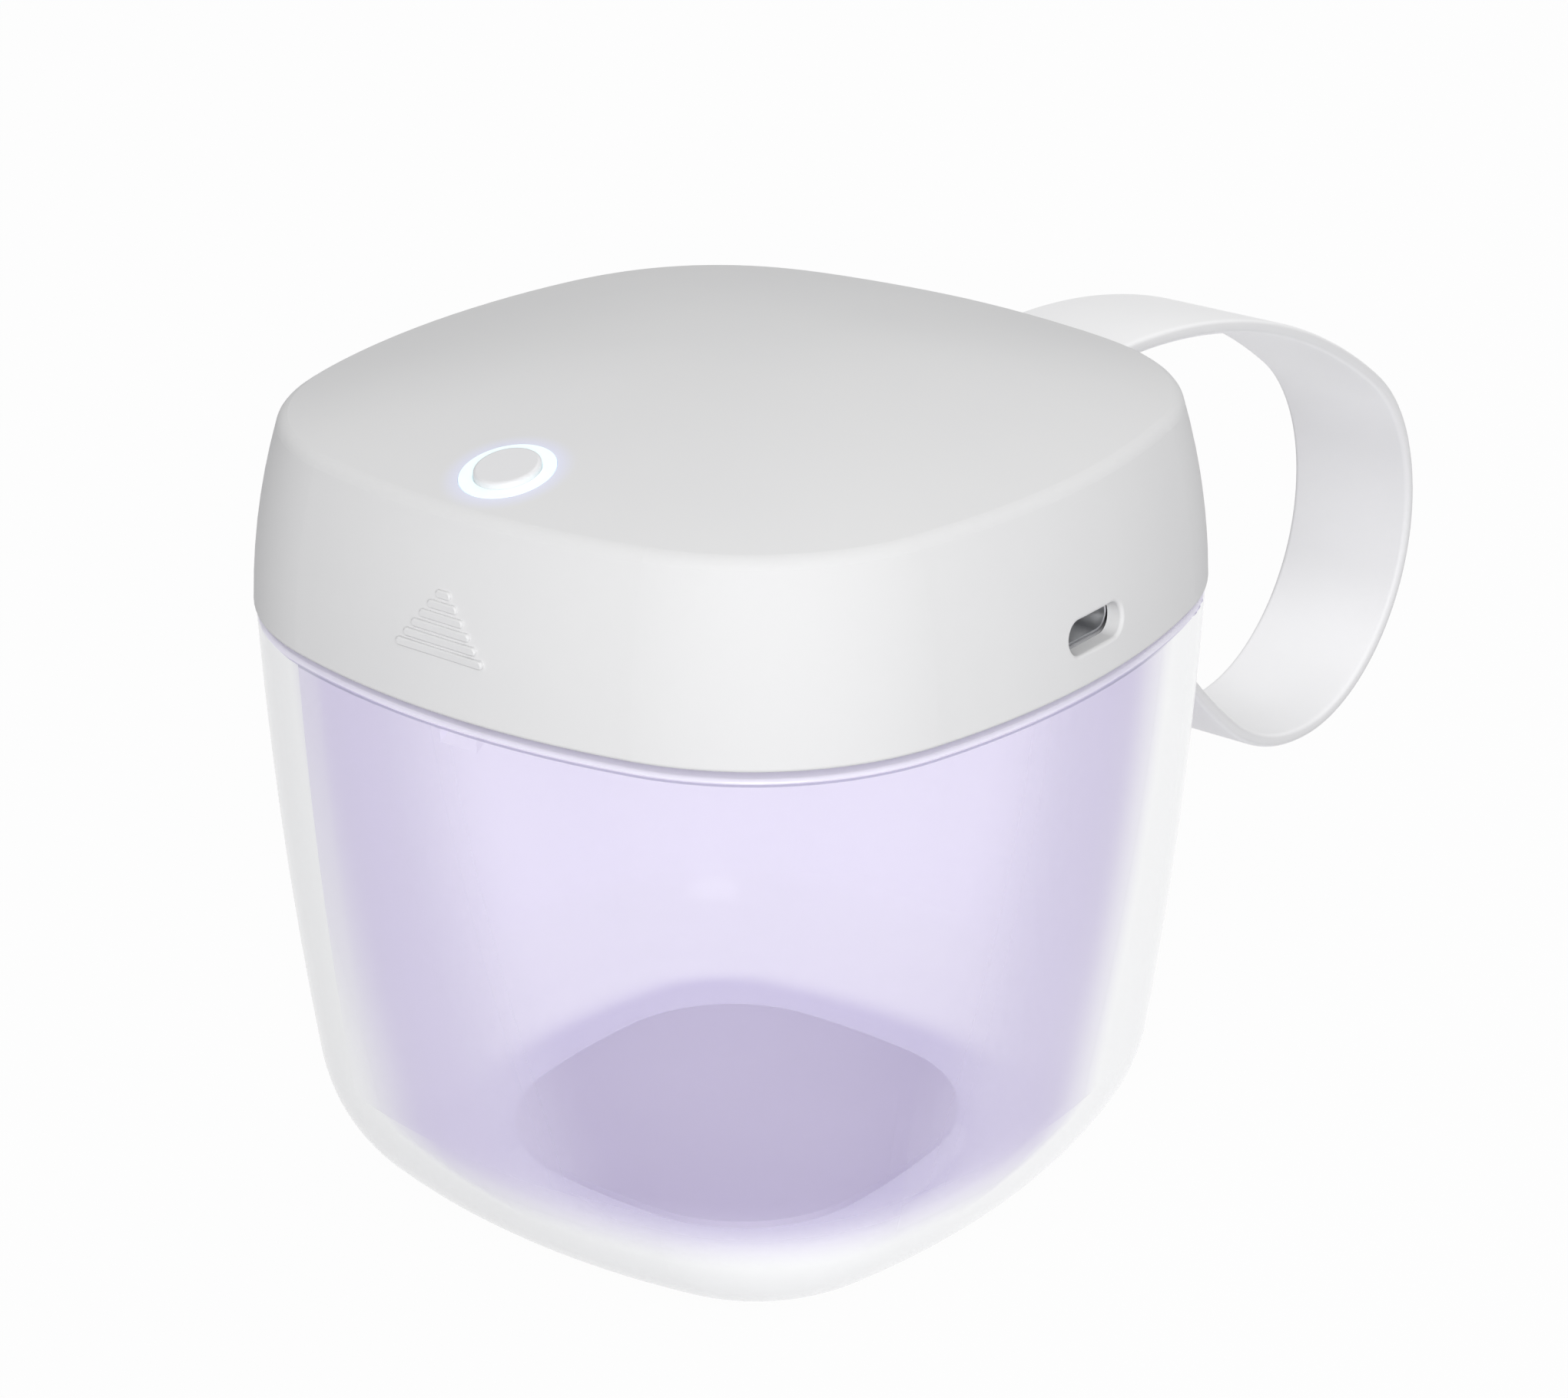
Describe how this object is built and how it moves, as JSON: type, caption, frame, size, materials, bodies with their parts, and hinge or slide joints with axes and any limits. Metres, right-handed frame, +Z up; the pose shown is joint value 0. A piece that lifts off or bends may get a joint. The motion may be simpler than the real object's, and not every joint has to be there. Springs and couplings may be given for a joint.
{
  "type": "pacifier sterilizer case",
  "caption": "Portable pacifier sterilizer case: clear rounded cup, hinged domed lid with lit push button, charging socket and ultraviolet lamps, and a looped soft carry strap.",
  "frame": {"origin": "centre of the flat underside that the case stands on", "axes": "+Z up, -Y to the front with the button, +Y to the hinge and the strap, +X to the side with the charging socket"},
  "size_m": [0.09, 0.1755, 0.0938],
  "materials": {
    "cup_clear": "smoked-white clear plastic, smooth outside",
    "floor_mirror": "smooth grey-lilac",
    "magnet_metal": "nickel plated",
    "pin_steel": "drawn steel",
    "strap_silicone": "soft satin silicone",
    "lid_white": "fine satin white",
    "ring_clear": "clear light guide",
    "button_white": "fine satin white",
    "switch_black": "black",
    "board_green": "solder mask",
    "screw_steel": "plated steel",
    "lamp_white": "ceramic package with a clear lens",
    "seal_silicone": "soft translucent silicone",
    "window_clear": "clear ultraviolet-passing window",
    "foam_grey": "foam",
    "battery_foil": "laminated foil",
    "socket_steel": "stamped steel",
    "flex_amber": "polyimide"
  },
  "bodies": {
    "cup": {"cup_shell": "cup_clear", "floor_plate": "floor_mirror", "cup_magnet": "magnet_metal", "hinge_pin": "pin_steel", "strap": "strap_silicone"},
    "lid": {"lid_shell": "lid_white", "light_ring": "ring_clear", "switch_body": "switch_black", "button_board": "board_green", "button_board_screws": "screw_steel", "status_lamps": "lamp_white", "inner_cover": "lid_white", "seal_ring": "seal_silicone", "lamp_window": "window_clear", "ultraviolet_lamps": "lamp_white", "main_board": "board_green", "board_chips": "switch_black", "board_screws": "screw_steel", "lid_screws": "screw_steel", "lid_sensor": "switch_black", "lid_magnet": "magnet_metal", "battery_pad": "foam_grey", "battery": "battery_foil", "socket_shell": "socket_steel", "socket_tongue": "switch_black", "flex_lead": "flex_amber"},
    "button": {"button_cap": "button_white", "switch_plunger": "switch_black"}
  },
  "joints": [
    {"name": "lid_hinge", "type": "hinge", "parent": "cup", "child": "lid", "pos_m": [0, 0.0482, 0.0676], "axis": [-1, 0, 0], "range_deg": [0, 100], "deforming": ["strap"]},
    {"name": "button_press", "type": "slide", "parent": "lid", "child": "button", "axis": [0, 0, -1], "range_m": [0, 0.0005], "stiffness_N_per_m": 400, "springref_m": -0.0005}
  ]
}
